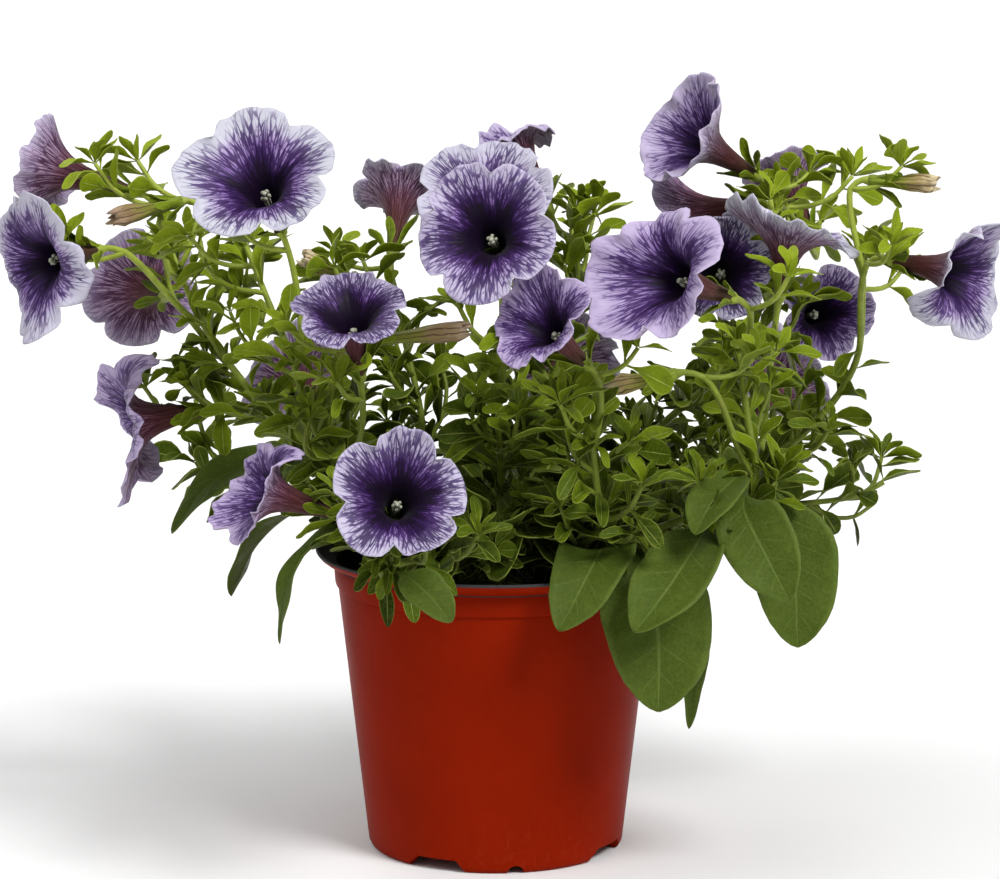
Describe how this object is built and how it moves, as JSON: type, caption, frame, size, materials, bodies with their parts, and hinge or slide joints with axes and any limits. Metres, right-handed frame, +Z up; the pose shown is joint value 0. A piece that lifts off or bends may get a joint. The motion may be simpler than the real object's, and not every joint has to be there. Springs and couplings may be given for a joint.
{
  "type": "potted petunia",
  "caption": "Bushy petunia with dark-veined violet and white trumpet flowers, upright and trailing stems and broad lower leaves, growing in a tapered red-brown plastic nursery pot.",
  "frame": {"origin": "on the pot's axis, in the plane its feet stand on", "axes": "+Z up along the pot's axis; -Y is the front of the plant, which the largest lower leaves hang on the +X side of; +X to the right seen from the front"},
  "size_m": [0.3629, 0.2694, 0.2761],
  "materials": {
    "pot_plastic": "satin",
    "soil": "matte",
    "stem_green": "satin",
    "leaf_green": "satin",
    "petal_violet": "matte",
    "bud_green": "matte"
  },
  "bodies": {
    "root": {"bud_centre_left": "bud_green", "bud_centre_long": "bud_green", "bud_left": "bud_green", "bud_right_pale": "bud_green", "bud_right_top": "bud_green", "flower_01": "petal_violet", "flower_02": "petal_violet", "flower_03": "petal_violet", "flower_04": "petal_violet", "flower_05": "petal_violet", "flower_06": "petal_violet", "flower_07": "petal_violet", "flower_08": "petal_violet", "flower_09": "petal_violet", "flower_10": "petal_violet", "flower_11": "petal_violet", "flower_12": "petal_violet", "flower_13": "petal_violet", "flower_14": "petal_violet", "flower_15": "petal_violet", "flower_16": "petal_violet", "flower_17": "petal_violet", "flower_18": "petal_violet", "flower_19": "petal_violet", "flower_20": "petal_violet", "flower_21": "petal_violet", "flower_22": "petal_violet", "flower_23": "petal_violet", "flower_24": "petal_violet", "leaf_back_centre": "leaf_green", "leaf_back_left": "leaf_green", "leaf_back_outer": "leaf_green", "leaf_back_right": "leaf_green", "leaf_front_large": "leaf_green", "leaf_front_narrow": "leaf_green", "leaf_front_second": "leaf_green", "leaf_front_third": "leaf_green", "leaf_left_arched": "leaf_green", "leaf_left_narrow": "leaf_green", "leaf_right_fold": "leaf_green", "leaf_right_inner": "leaf_green", "leaf_right_outer": "leaf_green", "leaf_rim_front": "leaf_green", "pot_shell": "pot_plastic", "potting_soil": "soil", "stem_back_centre": "stem_green", "stem_back_left": "stem_green", "stem_back_right": "stem_green", "stem_centre_front": "stem_green", "stem_centre_left": "stem_green", "stem_centre_tall": "stem_green", "stem_front_rim": "stem_green", "stem_front_short": "stem_green", "stem_left_front": "stem_green", "stem_left_low": "stem_green", "stem_left_upper": "stem_green", "stem_right_front": "stem_green", "stem_right_low": "stem_green", "stem_right_outer": "stem_green", "stem_right_tall": "stem_green"}
  },
  "joints": []
}
